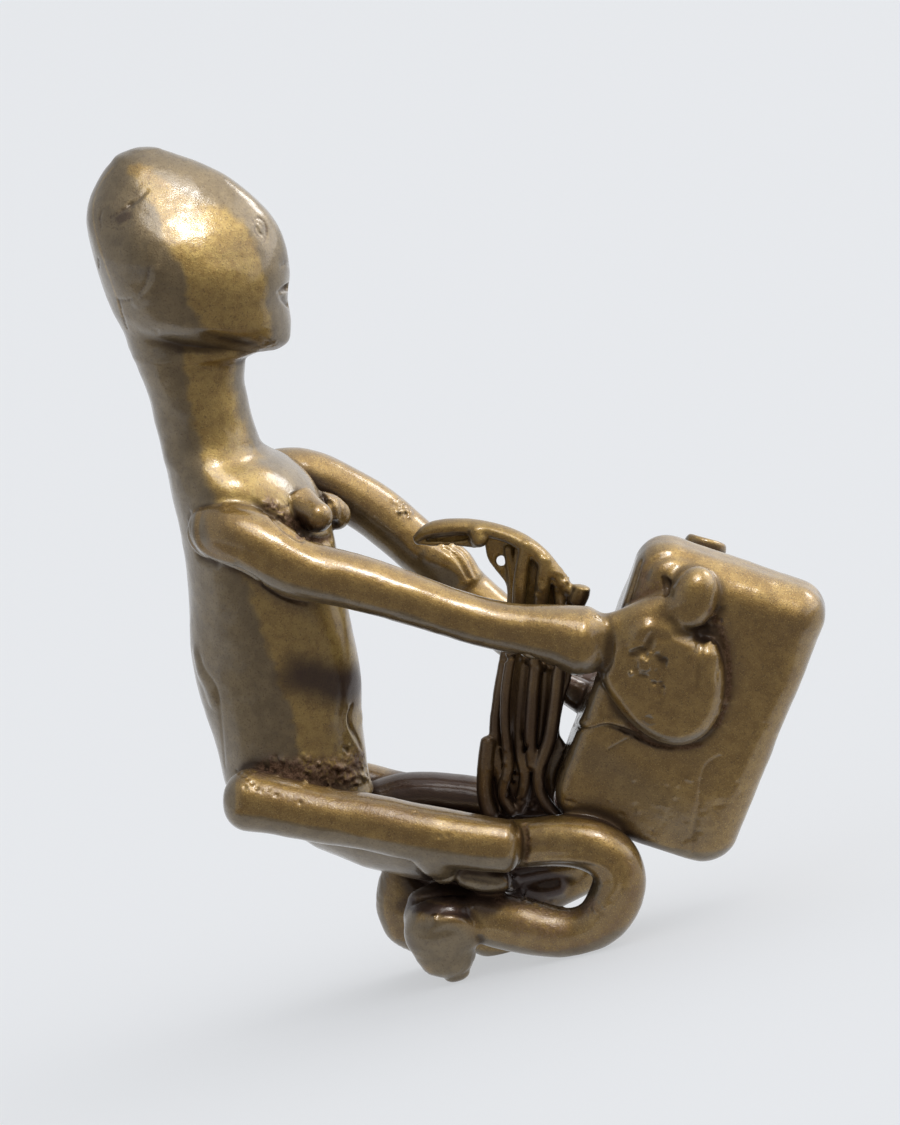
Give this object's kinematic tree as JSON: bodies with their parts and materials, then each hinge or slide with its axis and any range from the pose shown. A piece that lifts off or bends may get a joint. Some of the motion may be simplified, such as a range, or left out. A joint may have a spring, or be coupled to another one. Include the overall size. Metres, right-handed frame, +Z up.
{
  "type": "cast brass figurine",
  "caption": "Seated figure playing a box harp on a trough-shaped stool seat, small lost-wax cast brass weight built from pressed wax elements.",
  "frame": {"origin": "centre of the bounding box in plan, on the surface the figurine rests on", "axes": "+Z up, +X the way the figure faces, +Y to the figure's left"},
  "size_m": [0.05, 0.0188, 0.0693],
  "materials": {
    "brass_body": "aged, worn satin with a brown film",
    "brass_thread": "aged, darker in the recesses"
  },
  "bodies": {
    "root": {"arm_right": "brass_body", "thumb_right": "brass_body", "hand_right": "brass_body", "sound_box": "brass_body", "arm_left": "brass_body", "thumb_left": "brass_body", "hand_left": "brass_body", "head": "brass_body", "neck": "brass_body", "seat_rim_right": "brass_body", "seat_rim_left": "brass_body", "seat_plate": "brass_body", "leg_right": "brass_body", "leg_left": "brass_body", "foot_right": "brass_body", "foot_left": "brass_body", "breast_right": "brass_body", "breast_left": "brass_body", "navel": "brass_body", "torso": "brass_body", "seat_stub": "brass_body", "harp_neck": "brass_thread", "neck_stub": "brass_thread", "string_1": "brass_thread", "string_2": "brass_thread", "string_3": "brass_thread", "string_4": "brass_thread", "string_5": "brass_thread", "string_6": "brass_thread", "string_7": "brass_thread", "string_heel": "brass_thread", "neck_web": "brass_thread"}
  },
  "joints": []
}
